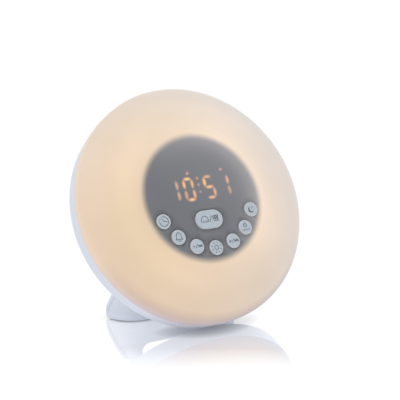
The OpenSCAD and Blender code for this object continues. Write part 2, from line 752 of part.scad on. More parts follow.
// Places what belongs to cell i, with +x towards its pole
module at_cell(i) {
    y = -bay_top - cell_gap - cell_d / 2 - i * (cell_d + cell_gap);
    on_lamp() translate([0, y, cell_z]) mirror([i % 2, 0, 0]) children();
}
module backup_cells() {
    start = bay_w / 2 - contact_t - pole_l - cell_l;
    color("#b9a45a") for (i = [0:CELLS - 1]) at_cell(i) translate([start, 0, 0]) rotate([0, 90, 0]) {
        cylinder(h = cell_l, d = cell_d, $fn = 64);
        cylinder(h = cell_l + pole_l, r = pole_r, $fn = 64);
    }
}
module battery_contacts() {
    plate = cell_d * 0.8;
    reach = bay_w - 2 * contact_t - pole_l - cell_l;
    color("#c8c8c8") for (i = [0:CELLS - 1]) at_cell(i) {
        for (s = [-1, 1]) translate([s * (bay_w - contact_t) / 2, 0, 0])
            cube([contact_t, plate, plate], center = true);
        translate([contact_t - bay_w / 2, plate / 4, 0]) rotate([90, 0, 0]) linear_extrude(height = plate / 2)
            polygon([[0, -plate / 2], [reach, -contact_t], [reach, contact_t], [0, plate / 2],
                [0, plate / 2 - 2 * contact_t], [reach - contact_t, 0], [0, 2 * contact_t - plate / 2]]);
    }
}
module battery_door() {
    door_w = bay_w + 2 * ledge_w;
    end_y = -bay_top - bay_h + door_gap;
    notch_r = 12;
    color("#e6e8ec") on_lamp() difference() {
        union() {
            translate([-door_w / 2, end_y, -back_depth]) cube([door_w, pin_y - end_y, door_t]);
            translate([0, pin_y, pin_z]) rotate([0, 90, 0]) {
                cylinder(h = door_w, d = door_t, center = true);
                cylinder(h = door_w + 2 * (pin_l + door_gap), d = pin_d, center = true);
            }
        }
        translate([0, end_y + door_t, -back_depth - notch_r + door_t / 2]) rotate([0, 90, 0])
            cylinder(h = cell_d, r = notch_r, center = true);
    }
}

// ---- screws ----
module case_screws() {
    color("#8d9096") on_lamp() at_turns(case_screw_ring, case_screw_turns)
        screw(m3_r, head_r, head_h, case_post_z - case_seat, -2 * frame_t);
}
module mask_screws() {
    color("#8d9096") on_lamp() at_turns(mask_boss_ring, mask_boss_turns)
        screw(m2_r, small_head_r, small_head_h, -frame_t, mask_boss_h - 2 * mask_wall);
}
module board_screws() {
    color("#8d9096") on_lamp() {
        at_each(mask_posts) screw(m2_r, small_head_r, small_head_h, board_z - board_t, board_z + 2 * board_t);
        main_posts() screw(m2_r, small_head_r, small_head_h, main_board_z, -2 * frame_t);
    }
}
module speaker_screws() {
    color("#8d9096") on_speaker() at_turns(speaker_post_ring, speaker_post_turns)
        translate([0, 0, basket_t]) rotate([180, 0, 0])
            screw(m2_r, small_head_r, small_head_h, 0, basket_t + shell_wall / 3);
}

// ---- stand ----
// Long oval block that narrows upwards, base radius at table height
module foot_solid(base, z0, z1) {
    hull() for (s = [-1, 1]) translate([s * foot_arc_x, foot_arc_y, z0])
        cylinder(h = z1 - z0, r1 = base - draft_slope * z0, r2 = base - draft_slope * z1, $fn = 64);
}
// Side outline of the stand, extruded across it, with its rear edge moved forward by back
module heel_block(back) {
    front = lamp_y + foot_front - foot_wall;
    heel = [lamp_y + foot_front + heel_reach - back, pad_t];
    top = [heel[0] - heel_slope * foot_top, foot_top];
    rotate([90, 0, 90]) linear_extrude(height = 2 * foot_w, center = true)
        polygon(concat([[front, pad_t]], rounding([front, pad_t], heel, top, heel_r),
            [top, [front, foot_top]]));
}
module stand_bracket() {
    wall_r = foot_corner_r - flare_w;
    half = arm_gap / 2;
    color("#eceef2") {
        difference() {
            union() {
                intersection() {
                    heel_block(0);
                    union() {
                        foot_solid(wall_r, pad_t, foot_top);
                        foot_flare();
                        difference() {
                            foot_solid(wall_r + edge_bead, pad_t, foot_top);
                            heel_block(edge_bead_w);
                        }
                    }
                }
                on_lamp() for (s = [-1, 1]) translate([s * peg_x, -peg_drop, 0])
                    pill(peg_w + 2 * boss_edge, peg_h + 2 * boss_edge,
                        peg_face_z - boss_l, peg_face_z + boss_l);
            }
            foot_solid(wall_r - foot_wall, pad_t + sole_t, foot_top + boss_l);
            foot_solid(wall_r - foot_wall - sole_w, -pad_t, foot_top);
            rotate([90, 0, 0]) linear_extrude(height = 4 * foot_w, center = true) polygon(concat(
                rounding([-half, foot_top], [-half, bar_h], [half, bar_h], window_r),
                rounding([-half, bar_h], [half, bar_h], [half, foot_top], window_r),
                [[half, 2 * foot_top], [-half, 2 * foot_top]]));
            on_lamp() rotate_extrude($fn = 180) polygon(concat([[0, 0], [case_r + stand_gap, 0]],
                shell_path(-stand_gap, rim_edge_r, back_edge_r), [[0, -back_depth - stand_gap]]));
        }
        on_lamp() for (s = [-1, 1]) translate([s * peg_x, -peg_drop, 0])
            block(peg_w, peg_h, peg_face_z - peg_root, peg_face_z + peg_depth);
    }
}
// Outward slope along the bottom edge of the stand
module foot_flare() {
    hull() for (s = [-1, 1]) translate([s * foot_arc_x, foot_arc_y, pad_t])
        cylinder(h = flare_h, r1 = foot_corner_r,
            r2 = foot_corner_r - flare_w - draft_slope * flare_h, $fn = 64);
}
module stand_pads() {
    r_out = foot_corner_r - pad_inset;
    r_in = foot_corner_r - flare_w - foot_wall - sole_w + pad_inset;
    reach = foot_corner_r - heel_reach + heel_r * tan(60);
    start = 180 + asin((reach + pad_inset) / r_in);
    inner_end = foot_arc_x * 0.6;
    color("#3a3b3f") for (s = [0, 1]) mirror([s, 0, 0]) linear_extrude(height = pad_t) polygon(concat(
        arc_points([-foot_arc_x, foot_arc_y], r_out, start, 270),
        [[-inner_end, foot_arc_y - r_out], [-inner_end, foot_arc_y - r_in]],
        arc_points([-foot_arc_x, foot_arc_y], r_in, 270, start)));
}

diffuser_dome();
rear_shell();
reflector_frame();
light_board();
light_leds();
display_mask();
display_module();
lit_segments();
dark_segments();
button_board();
switch_cases();
round_button(0);  // clock_button
round_button(1);  // alarm_button
round_button(2);  // back_button
round_button(3);  // light_button
round_button(4);  // forward_button
round_button(5);  // timer_button
round_button(6);  // night_button
snooze_button();
plunger(button_at(0));  // clock_plunger
plunger(button_at(1));  // alarm_plunger
plunger(button_at(2));  // back_plunger
plunger(button_at(3));  // light_plunger
plunger(button_at(4));  // forward_plunger
plunger(button_at(5));  // timer_plunger
plunger(button_at(6));  // night_plunger
plunger(snooze_at);  // snooze_plunger
main_board();
board_chips();
board_capacitors();
ribbon_cable();
speaker_basket();
speaker_magnet();
speaker_cone();
speaker_leads();
power_jack();
power_jack_pin();
battery_contacts();
backup_cells();
battery_door();
case_screws();
mask_screws();
board_screws();
speaker_screws();
stand_bracket();
stand_pads();
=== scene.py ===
"""Looks of a round sunrise alarm clock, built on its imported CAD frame."""
import math

import bmesh
import bpy
from mathutils import Matrix, Vector
from mathutils.geometry import delaunay_2d_cdt


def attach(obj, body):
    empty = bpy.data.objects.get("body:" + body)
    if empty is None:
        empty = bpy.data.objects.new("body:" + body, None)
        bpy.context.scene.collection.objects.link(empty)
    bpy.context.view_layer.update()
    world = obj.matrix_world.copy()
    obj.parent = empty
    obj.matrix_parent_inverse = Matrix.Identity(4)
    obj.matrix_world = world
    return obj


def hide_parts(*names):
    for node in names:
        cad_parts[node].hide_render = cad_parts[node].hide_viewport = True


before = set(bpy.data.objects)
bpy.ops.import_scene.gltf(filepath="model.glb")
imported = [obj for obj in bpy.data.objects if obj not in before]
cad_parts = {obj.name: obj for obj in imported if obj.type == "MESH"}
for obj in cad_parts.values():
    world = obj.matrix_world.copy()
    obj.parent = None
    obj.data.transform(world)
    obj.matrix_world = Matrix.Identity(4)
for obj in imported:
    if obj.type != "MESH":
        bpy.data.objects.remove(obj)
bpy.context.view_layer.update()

MM = 0.001
LEAN = math.radians(29.1)
LAMP = Vector((0, -1.6388, 79.5142)) * MM  # centre of the seam
TO_WORLD = Matrix.Translation(LAMP) @ Matrix.Rotation(math.pi / 2 - LEAN, 4, "X")


def polar(cx, cy, radius, turn):
    """The point at a radius and an angle from a centre."""
    return cx + radius * math.cos(turn), cy + radius * math.sin(turn)


# ---- sizes in millimetres, in the lamp's own frame: u to the right, v up its face, w out of it ----
CASE_R, SEAM_GAP, FLANK_H = 85.0, 0.2, 4.5
CORNER_R, CORNER_TURN, FRONT_H, DOME_WALL = 8.3, math.radians(36), 21.1, 2.0
CROWN_TURN = math.radians(2.5)
SEAM_LEDGE = 1.2  # the wall is this much thicker where it meets the shell
SKIN = 0.03  # keeps the finer curves inside the CAD's facets
PANEL_R = 44.1
KEY_R, KEY_GAP, KEY_PROUD = 5.25, 0.25, 0.7
KEY_RING_R, KEY_RING_Y, KEY_PITCH = 37.3, 0.9, math.radians(22.4)
ROUND_KEYS = ("clock", "alarm", "back", "light", "forward", "timer", "night")
SNOOZE = (0.0, -16.3, 21.6, 13.3)  # centre, width and height

# the front's outline: a tight corner, a broad shoulder and a shallow crown, each tangent to the next
SHOULDER_R = (FRONT_H - FLANK_H - CORNER_R * math.sin(CORNER_TURN)) / (1 - math.sin(CORNER_TURN))
CORNER_C = (CASE_R - CORNER_R, FLANK_H)
SHOULDER_C = polar(*CORNER_C, CORNER_R - SHOULDER_R, CORNER_TURN)
CROWN_END = (
    SHOULDER_C[0] + SHOULDER_R * math.sin(CROWN_TURN),
    SHOULDER_C[1] + SHOULDER_R * math.cos(CROWN_TURN),
)
CROWN_R = CROWN_END[0] / math.sin(CROWN_TURN)
CROWN_Z = CROWN_END[1] - CROWN_R * math.cos(CROWN_TURN)


def crown_z(radius, inset=0.0):
    """Height of the crown, or of a skin inset below it, at a distance from the lamp's axis."""
    return CROWN_Z + math.sqrt((CROWN_R - inset) ** 2 - radius * radius)


def key_at(i):
    """Centre of a round key, on an arc round the lower half of the panel."""
    return polar(0, KEY_RING_Y, KEY_RING_R, -math.pi / 2 + (i - len(ROUND_KEYS) // 2) * KEY_PITCH)


KEY_TOP = crown_z(KEY_RING_R) + KEY_PROUD
# centre, width and height of every key
KEYS = {name: (*key_at(i), 2 * KEY_R, 2 * KEY_R) for i, name in enumerate(ROUND_KEYS)}
KEYS["snooze"] = SNOOZE


# ---------------------------------------------------------------- mesh helpers
PILL_STEPS = 24  # round each end


def finish_mesh(name, bm, body, smooth=True, sharp=None):
    """Makes an object that rides on a body; edges steeper than sharp degrees stay hard."""
    bmesh.ops.recalc_face_normals(bm, faces=bm.faces)
    mesh = bpy.data.meshes.new(name)
    bm.to_mesh(mesh)
    bm.free()
    for face in mesh.polygons:
        face.use_smooth = smooth
    if sharp is not None:
        mesh.set_sharp_from_angle(angle=math.radians(sharp))
    obj = bpy.data.objects.new(name, mesh)
    bpy.context.scene.collection.objects.link(obj)
    if body:
        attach(obj, body)
    return obj


def to_world(bm):
    bmesh.ops.transform(bm, matrix=TO_WORLD @ Matrix.Scale(MM, 4), verts=bm.verts)


def circle_pts(cx, cy, radius, count):
    return [polar(cx, cy, radius, 2 * math.pi * k / count) for k in range(count)]


def pill_pts(cx, cy, width, height):
    """Outline of a pill."""
    reach, radius = (width - height) / 2, height / 2
    turns = [math.pi * k / PILL_STEPS for k in range(PILL_STEPS + 1)]
    right = [polar(cx + reach, cy, radius, turn - math.pi / 2) for turn in turns]
    left = [polar(cx - reach, cy, radius, turn + math.pi / 2) for turn in turns]
    return right + left


def bridge(bm, rows, slot):
    """Joins closed rows of points with four-sided faces."""
    for a, b in zip(rows, rows[1:]):
        for k in range(len(a)):
            j = (k + 1) % len(a)
            bm.faces.new((a[k], a[j], b[j], b[k])).material_index = slot


# ---------------------------------------------------------------- node helpers
NOISE_SPAN = (0.3, 0.7)  # nearly all of the noise lies between these


class Nodes:
    """A short way to write the nodes of a material or a world."""

    def __init__(self, owner, output="ShaderNodeOutputMaterial"):
        owner.use_nodes = True
        self.owner = owner
        self.tree = owner.node_tree
        self.tree.nodes.clear()
        self.out = self.node(output)

    def node(self, kind, **props):
        made = self.tree.nodes.new(kind)
        for name, value in props.items():
            setattr(made, name, value)
        return made

    def put(self, sock, value):
        """Links a socket to another node's, or gives it a value."""
        if isinstance(value, bpy.types.NodeSocket):
            self.tree.links.new(value, sock)
        else:
            sock.default_value = value

    def put_all(self, made, values):
        for sock, value in zip(made.inputs, values):
            self.put(sock, value)
        return made.outputs

    def math(self, operation, *values):
        return self.put_all(self.node("ShaderNodeMath", operation=operation), values)[0]

    def vector_math(self, operation, *values):
        return self.put_all(self.node("ShaderNodeVectorMath", operation=operation), values)

    def scaled(self, vec, factor):
        made = self.node("ShaderNodeVectorMath", operation="SCALE")
        self.put(made.inputs[0], vec)
        self.put(made.inputs["Scale"], factor)
        return made.outputs[0]

    def squares(self, a, b):
        """The sum of two squares."""
        return self.math("ADD", self.math("MULTIPLY", a, a), self.math("MULTIPLY", b, b))

    def length(self, a, b):
        return self.math("SQRT", self.squares(a, b))

    def mapped(self, kind, **inputs):
        coordinates = self.node("ShaderNodeTexCoord").outputs["Object"]
        made = self.node("ShaderNodeMapping", vector_type=kind)
        self.put(made.inputs["Vector"], coordinates)
        for name, value in inputs.items():
            made.inputs[name].default_value = value
        return made.outputs[0]

    def lamp(self):
        """Coordinates in the lamp's own frame, in millimetres."""
        turn = (math.pi / 2 - LEAN, 0, 0)
        return self.mapped("TEXTURE", Location=LAMP, Rotation=turn, Scale=(MM, MM, MM))

    def world(self):
        """Coordinates of the whole clock, in millimetres."""
        return self.mapped("POINT", Scale=(1 / MM, 1 / MM, 1 / MM))

    def xyz(self, vec):
        made = self.node("ShaderNodeSeparateXYZ")
        self.put(made.inputs[0], vec)
        return made.outputs

    def noise(self, vec, scale, detail):
        """Noise with scale features to the millimetre."""
        made = self.node("ShaderNodeTexNoise")
        self.put(made.inputs["Vector"], vec)
        made.inputs["Scale"].default_value = scale
        made.inputs["Detail"].default_value = detail
        return made.outputs["Fac"]

    def remap(self, value, from_low, from_high, to_low, to_high, smooth=False):
        shape = "SMOOTHSTEP" if smooth else "LINEAR"
        made = self.node("ShaderNodeMapRange", interpolation_type=shape)
        return self.put_all(made, (value, from_low, from_high, to_low, to_high))[0]

    def uneven(self, vec, scale, detail, low, high):
        """Noise that wanders between low and high."""
        return self.remap(self.noise(vec, scale, detail), *NOISE_SPAN, low, high)

    def mix(self, factor, a, b):
        """Mixes two colours."""
        made = self.node("ShaderNodeMix", data_type="RGBA")
        self.put(made.inputs[0], factor)
        self.put(made.inputs[6], a)
        self.put(made.inputs[7], b)
        return made.outputs[2]

    def bump(self, height, strength, depth):
        """Relief up to depth millimetres deep."""
        return self.shader("Bump", Height=height, Strength=strength, Distance=depth * MM)

    def shader(self, kind, **inputs):
        """A node with its inputs given by name, where _ stands for a space."""
        made = self.node("ShaderNode" + kind)
        for name, value in inputs.items():
            self.put(made.inputs[name.replace("_", " ")], value)
        return made.outputs[0]

    def mix_shader(self, factor, a, b):
        return self.put_all(self.node("ShaderNodeMixShader"), (factor, a, b))[0]

    def occlusion(self, distance, samples):
        """1 in the open and less where something stands within the distance."""
        made = self.node("ShaderNodeAmbientOcclusion", samples=samples)
        made.inputs["Distance"].default_value = distance
        return made.outputs["AO"]

    def surface(self, sock):
        self.tree.links.new(sock, self.out.inputs["Surface"])
        return self.owner


def new_material(name):
    return Nodes(bpy.data.materials.new(name))


def rgba(color, factor=1.0):
    """A colour made lighter or darker by a factor."""
    return (*(min(1.0, c * factor) for c in color), 1.0)


# ---------------------------------------------------------------- plain materials
# A noise is given as its features to the millimetre and its levels of detail, a relief as its
# strength and its depth in millimetres.
MOTTLE, SMUDGES, GRAIN_DETAIL = (0.06, 4), (0.15, 3), 2
GLOSS_LOW, GLOSS_HIGH = 0.88, 1.14  # how far a moulding's roughness wanders from its middle
GRAIN_DEPTH = 0.05
MARK_DETAIL, MARK_SPAN, MARK_TONE = 3, (0.35, 0.65), 0.9
MARK_RELIEF = (0.06, 0.03)
POLISH_LOW, POLISH_HIGH = 0.8, 1.25  # the same for a metal's roughness


def plastic(name, color, rough, grain=3.0, grain_strength=0.05, vary=0.03, spec=0.5):
    """Moulded plastic: a faint mottle, a fine spark-eroded grain and uneven gloss."""
    m = new_material(name)
    place = m.world()
    mottle = m.uneven(place, *MOTTLE, 0, 1)
    return m.surface(m.shader(
        "BsdfPrincipled",
        Base_Color=m.mix(mottle, rgba(color, 1 - vary), rgba(color, 1 + vary)),
        Roughness=m.uneven(place, *SMUDGES, rough * GLOSS_LOW, min(1, rough * GLOSS_HIGH)),
        Normal=m.bump(m.noise(place, grain, GRAIN_DETAIL), grain_strength, GRAIN_DEPTH),
        Specular_IOR_Level=spec,
    ))


def metal(name, color, rough, grain=2.5):
    """Bare metal with fine marks that change its tone and gloss."""
    m = new_material(name)
    marks = m.noise(m.world(), grain, MARK_DETAIL)
    tone = m.remap(marks, *MARK_SPAN, 0, 1)
    return m.surface(m.shader(
        "BsdfPrincipled",
        Base_Color=m.mix(tone, rgba(color, MARK_TONE), rgba(color)),
        Roughness=m.remap(marks, *NOISE_SPAN, rough * POLISH_LOW, rough * POLISH_HIGH),
        Normal=m.bump(marks, *MARK_RELIEF),
        Metallic=1.0,
    ))


# ---------------------------------------------------------------- shell
WHITE, DUST = (0.835, 0.86, 0.935), (0.70, 0.70, 0.70)
SHELL_MOTTLE, MOTTLE_TONE = (0.03, 4), 0.985
SHELL_BACK = (-15.5, -13.0)  # the shell is satin behind the first depth and glossy before the second
SHELL_ROUGH = (0.31, 0.35)  # glossier than 0.3, the reflections break up into blotches
SATIN = 0.22  # added roughness at the back
SHELL_SMUDGES = (0.12, 3)
DUST_NOISE, DUST_SPAN, DUST_MOST = (1.3, 2), (0.72, 0.80), 0.08
SHELL_GRAIN, SHELL_RELIEF = (3.2, 2), (0.06, 0.04)
FRONT_GRAIN = 0.1  # share of the back's grain that is left in front


def shell_material():
    """Glossy white moulding, satin and with a little dust in its grain towards the back."""
    m = new_material("shell_white")
    place = m.world()
    back = m.remap(m.xyz(m.lamp())[2], *SHELL_BACK, 1, 0)
    mottle = m.uneven(place, *SHELL_MOTTLE, 0, 1)
    color = m.mix(mottle, rgba(WHITE, MOTTLE_TONE), rgba(WHITE))
    specks = m.remap(m.noise(place, *DUST_NOISE), *DUST_SPAN, 0, DUST_MOST)
    dust = m.math("MULTIPLY", specks, back)
    gloss = m.uneven(place, *SHELL_SMUDGES, *SHELL_ROUGH)
    grain_share = m.math("MULTIPLY_ADD", back, 1 - FRONT_GRAIN, FRONT_GRAIN)
    grain = m.math("MULTIPLY", m.noise(place, *SHELL_GRAIN), grain_share)
    return m.surface(m.shader(
        "BsdfPrincipled",
        Base_Color=m.mix(dust, color, rgba(DUST)),
        Roughness=m.math("MULTIPLY_ADD", back, SATIN, gloss),
        Normal=m.bump(grain, *SHELL_RELIEF),
    ))


# ---------------------------------------------------------------- lit digits seen through the plastic
AMBER, PINKISH = (1.0, 0.46, 0.03), (1.0, 0.44, 0.24)  # a warm segment's light and a cool one's
DIGIT_X, DIGIT_Y = (-20.0, -8.0, 8.0, 20.0), 6.7
SEGMENT_REACH = (3.2, 7.4)  # from a digit's middle to its side and its end segments
BLUR_SHIFT = (-1.05, -0.45)  # the blur lies in the outer skin, in front of the segments
BLUR_SPAN = (0.25, 1.75)  # in half sizes: full up to the first, gone at the second
FLAT, UPRIGHT, DOT = (2.3, 1.05), (1.05, 2.45), (1.0, 1.0)  # half sizes of a blur
DOT_WARMTH = 0.2
# sideways and up from the digit's middle, and the blur's half sizes
SEGMENTS = {
    "top": (0, 1, FLAT),
    "upper_left": (-1, 0.5, UPRIGHT),
    "upper_right": (1, 0.5, UPRIGHT),
    "middle": (0, 0, FLAT),
    "lower_left": (-1, -0.5, UPRIGHT),
    "lower_right": (1, -0.5, UPRIGHT),
    "bottom": (0, -1, FLAT),
}
# level and warmth of each lit segment, digit by digit: a scanned display is never even
DIGITS = (
    {"upper_right": (0.34, 0.3), "lower_right": (0.36, 0.6)},
    {
        "top": (0.66, 1.0), "upper_left": (0.56, 0.9), "upper_right": (0.40, 0.8),
        "lower_left": (0.34, 0.5), "lower_right": (0.40, 0.4), "bottom": (0.57, 0.8),
    },
    {
        "top": (0.38, 0.4), "upper_left": (0.64, 1.0), "middle": (0.58, 0.9),
        "lower_right": (0.42, 0.4), "bottom": (0.38, 0.4),
    },
    {"upper_right": (0.34, 0.2), "lower_right": (0.26, 0.3)},
)
# place and level of the colon's dots and the indicator lamps
DOTS = ((0, 9.3, 0.15), (0, 4.1, 0.13), (-6.6, 18.1, 0.32), (20, 18.1, 0.2), (0, 13.8, 0.2))


def blurs():
    """Place, half sizes, level and warmth of each blurred segment and dot."""
    for middle, digit in zip(DIGIT_X, DIGITS):
        for name, (level, warmth) in digit.items():
            side, up, half = SEGMENTS[name]
            x, y = middle + side * SEGMENT_REACH[0], DIGIT_Y + up * SEGMENT_REACH[1]
            yield x + BLUR_SHIFT[0], y + BLUR_SHIFT[1], half, level, warmth
    for x, y, level in DOTS:
        yield x + BLUR_SHIFT[0], y + BLUR_SHIFT[1], DOT, level, DOT_WARMTH


def add_digits(m, vec, light):
    """Adds each lit segment's light, blurred by the frosted plastic in front of it."""
    for x, y, (half_x, half_y), level, warmth in blurs():
        size, centre = (1 / half_x, 1 / half_y, 0), (-x / half_x, -y / half_y, 0)
        near = m.vector_math("MULTIPLY_ADD", vec, size, centre)[0]
        far = m.vector_math("LENGTH", near)["Value"]
        fall = m.remap(far, *BLUR_SPAN, level / HAZE, 0.0, smooth=True)
        tone = [pink + (amber - pink) * warmth for pink, amber in zip(PINKISH, AMBER)]
        light = m.vector_math("MULTIPLY_ADD", fall, tone, light)[0]
    return light


# ---------------------------------------------------------------- frosted diffuser
UP_SHARE = 0.5  # the panel's edge and haze change half as much with the height as sideways
EDGE_SHIFT, EDGE = (-0.65, -0.3), (41.5, 47.9)  # centre and radii of the panel's soft edge
EDGE_FLAT, FLAT_SPAN = 0.9, (20, 50)  # the edge lies this much further in towards the upper left
HAZE = 0.8  # cover of the frosted skin over the panel
HAZE_TONE = (0.34, 0.31, 0.30)
HAZE_R = (22.0, 44.0)  # radii between which the haze over the panel grows
SIDE_HAZE, SIDE_SPAN = (0.03, 0.6), (-20, 36)  # more haze towards the right
TILT_HAZE, TILT_SPAN = (0.0, 0.14), (-25, 30)  # and a little all over the upper right
OVER_PANEL = (0.246, 0.252, 0.272)
MILKY, MILKY_PALE, MILKY_NOISE = (0.44, 0.44, 0.435), (0.46, 0.46, 0.455), (0.05, 3)
CLOUD_NOISE, CLOUD = (0.018, 2), (0.985, 1.015)  # faint unevenness of the light
FROST_SMUDGES, FROST_ROUGH, FROST_SPEC = (0.09, 3), (0.42, 0.5), 0.35
FROST_GRAIN, FROST_RELIEF = (2.2, 2), (0.08, 0.05)
BY_PANEL = (44, 60)  # radii of the light next to the panel, which is brighter to the right
LOBES, LOBE_TURN = 4, math.radians(126)  # brighter places round the panel
LOBE_R, LOBE_WIDTH = 58, 14  # radius and half width of the belt that they lie in
LOWER_EDGE_SHADE, SKIRT_SHADE = (79, 84), (3, 11)  # radii where painted shade dims the lower edge, and heights where painted shade turns the flank bluer
LOW_SPAN = (-65, -30)  # both are in full below the first height and gone above the second
# Red, green and blue light of the lit dome. The level and all shares but the last two were worked
# out by a least-squares fit to the dome's colours in the photograph, and the last two set.
# Besides the lamps' own glow, these shares hold painted light: the room's light makes the dome bluer to
# the right, and the last two are painted shade on the lower edge and flank.
GLOW_LEVEL = (0.545, 0.343, 0.149)
GLOW = {
    "right": (0.003, 0.042, 0.133),
    "up": (0.080, 0.081, 0.079),
    "outward": (-0.179, -0.082, 0.021),
    "right_outward": (-0.088, -0.057, -0.086),
    "up_outward": (-0.108, -0.075, -0.042),
    "right_by_panel": (0.188, 0.144, 0.057),
    "lobes": (0.024, 0.016, 0.011),
    "lower_edge_shade": (-0.12, -0.11, -0.06),
    "skirt_shade": (-0.07, -0.01, 0.09),
}


def panel_edge(m, u, v):
    """How far the plastic is lit, 0 over the panel and 1 beyond it, and the haze over the panel."""
    radius = m.length(m.math("SUBTRACT", u, EDGE_SHIFT[0]), m.math("SUBTRACT", v, EDGE_SHIFT[1]))
    upper_left = m.math("MULTIPLY_ADD", v, UP_SHARE, m.math("MULTIPLY", u, -1.0))
    flat = m.remap(upper_left, *FLAT_SPAN, 0.0, EDGE_FLAT)
    lit = m.remap(m.math("ADD", radius, flat), *EDGE, 0.0, 1.0, smooth=True)
    spread = m.math("POWER", m.remap(radius, *HAZE_R, 0.0, 1.0), 2.0)
    aside = m.remap(m.math("MULTIPLY_ADD", v, UP_SHARE, u), *SIDE_SPAN, *SIDE_HAZE)
    tilt = m.remap(m.math("ADD", u, v), *TILT_SPAN, *TILT_HAZE)
    haze = m.math("MULTIPLY_ADD", spread, aside, tilt)
    return lit, m.math("MULTIPLY", m.math("SUBTRACT", 1.0, lit), haze)


def dome_glow(m, u, v, w):
    """Light of the lamps behind, each colour falling off its own way over the dome, with painted room
    light and painted shade mixed in.
    """
    right, up = m.math("DIVIDE", u, CASE_R), m.math("DIVIDE", v, CASE_R)
    outward = m.squares(right, up)
    radius = m.math("MULTIPLY", m.math("SQRT", outward), CASE_R)
    by_panel = m.math("POWER", m.remap(radius, *BY_PANEL, 1.0, 0.0), 2.0)
    off_belt = m.math("MULTIPLY_ADD", radius, 1 / LOBE_WIDTH, -LOBE_R / LOBE_WIDTH)
    belt = m.math("EXPONENT", m.math("MULTIPLY", m.math("POWER", off_belt, 2.0), -1.0))
    turn = m.math("MULTIPLY_ADD", m.math("ARCTAN2", v, u), LOBES, LOBE_TURN)
    low = m.remap(v, *LOW_SPAN, 1, 0)
    terms = {
        # its blue share is painted room light falling from the right
        "right": right,
        "up": up,
        "outward": outward,
        "right_outward": m.math("MULTIPLY", right, outward),
        "up_outward": m.math("MULTIPLY", up, outward),
        "right_by_panel": m.math("MULTIPLY", right, by_panel),
        "lobes": m.math("MULTIPLY", m.math("COSINE", turn), belt),
        # painted shade: the lower edge dims and the flank turns bluer towards the bottom
        "lower_edge_shade": m.math("MULTIPLY", m.remap(radius, *LOWER_EDGE_SHADE, 0, 1), low),
        "skirt_shade": m.math("MULTIPLY", m.remap(w, *SKIRT_SHADE, 1, 0), low),
    }
    glow = m.node("ShaderNodeCombineColor")
    for i, level in enumerate(GLOW_LEVEL):
        for name, term in terms.items():
            level = m.math("MULTIPLY_ADD", term, GLOW[name][i], level)
        m.put(glow.inputs[i], level)
    return glow.outputs[0]


def diffuser_material():
    """Frosted plastic lit from behind: see-through over the dark panel, glowing round it."""
    m = new_material("diffuser_frosted")
    vec = m.lamp()
    u, v, w = m.xyz(vec)
    lit, haze = panel_edge(m, u, v)
    cloud = m.uneven(vec, *CLOUD_NOISE, *CLOUD)
    light = m.scaled(dome_glow(m, u, v, w), m.math("MULTIPLY", lit, cloud))
    light = m.vector_math("MULTIPLY_ADD", haze, HAZE_TONE, light)[0]
    milky = m.mix(m.uneven(vec, *MILKY_NOISE, 0, 1), rgba(MILKY), rgba(MILKY_PALE))
    skin = m.shader(
        "BsdfPrincipled",
        Base_Color=m.mix(lit, rgba(OVER_PANEL), milky),
        Roughness=m.uneven(vec, *FROST_SMUDGES, *FROST_ROUGH),
        Normal=m.bump(m.noise(vec, *FROST_GRAIN), *FROST_RELIEF),
        Specular_IOR_Level=FROST_SPEC,
        Emission_Color=add_digits(m, vec, light),
        Emission_Strength=1.0,
    )
    cover = m.remap(lit, 0.0, 1.0, HAZE, 1.0)
    return m.surface(m.mix_shader(cover, m.shader("BsdfTransparent"), skin))


INNER_EDGE = 3.0  # width over which the inner skin turns from clear to milky
INNER_DARK, INNER_PALE = (0.78, 0.75, 0.70), (0.84, 0.81, 0.76)
INNER_NOISE, INNER_ROUGH = (0.2, 2), 0.6


def inside_material():
    """Inner skin of the diffuser: clear over the panel, milky beyond it."""
    m = new_material("diffuser_inside")
    vec = m.lamp()
    u, v, _ = m.xyz(vec)
    cover = m.remap(m.length(u, v), PANEL_R, PANEL_R + INNER_EDGE, 0.0, 1.0, smooth=True)
    tone = m.mix(m.noise(vec, *INNER_NOISE), rgba(INNER_DARK), rgba(INNER_PALE))
    skin = m.shader("BsdfPrincipled", Base_Color=tone, Roughness=INNER_ROUGH)
    return m.surface(m.mix_shader(cover, m.shader("BsdfTransparent"), skin))


# ---------------------------------------------------------------- keys and segments
# the second colour is a painted highlight on the key's rounded edge
KEY_COLOR, KEY_HIGHLIGHT = (0.53, 0.59, 0.65), (0.66, 0.69, 0.71)
HIGHLIGHT_START, HIGHLIGHT_FULL = 1.1, 0.3  # from the key's edge: where the painted highlight starts, and where it is full
KEY_NOISE, KEY_MOTTLE = (0.5, 3), (0.0, 0.18)
KEY_SMUDGES, KEY_ROUGH = (0.3, 3), (0.38, 0.46)
KEY_GRAIN, KEY_RELIEF = (4.0, 2), (0.06, 0.05)


def key_material(name, x, y, width, height):
    """Satin key cap, with a painted highlight where its edge is rounded."""
    m = new_material(name)
    vec = m.lamp()
    u, v, _ = m.xyz(vec)
    beside = m.math("SUBTRACT", m.math("ABSOLUTE", m.math("SUBTRACT", u, x)), (width - height) / 2)
    radius = m.length(m.math("MAXIMUM", beside, 0.0), m.math("SUBTRACT", v, y))
    # painted highlight: the cap turns paler towards its rounded edge; a random mottle is mixed in
    rim_highlight = m.remap(radius, height / 2 - HIGHLIGHT_START, height / 2 - HIGHLIGHT_FULL, 0.0, 1.0, smooth=True)
    highlight_and_mottle = m.math("MAXIMUM", rim_highlight, m.uneven(vec, *KEY_NOISE, *KEY_MOTTLE))
    return m.surface(m.shader(
        "BsdfPrincipled",
        Base_Color=m.mix(highlight_and_mottle, rgba(KEY_COLOR), rgba(KEY_HIGHLIGHT)),
        Roughness=m.uneven(vec, *KEY_SMUDGES, *KEY_ROUGH),
        Normal=m.bump(m.noise(vec, *KEY_GRAIN), *KEY_RELIEF),
    ))


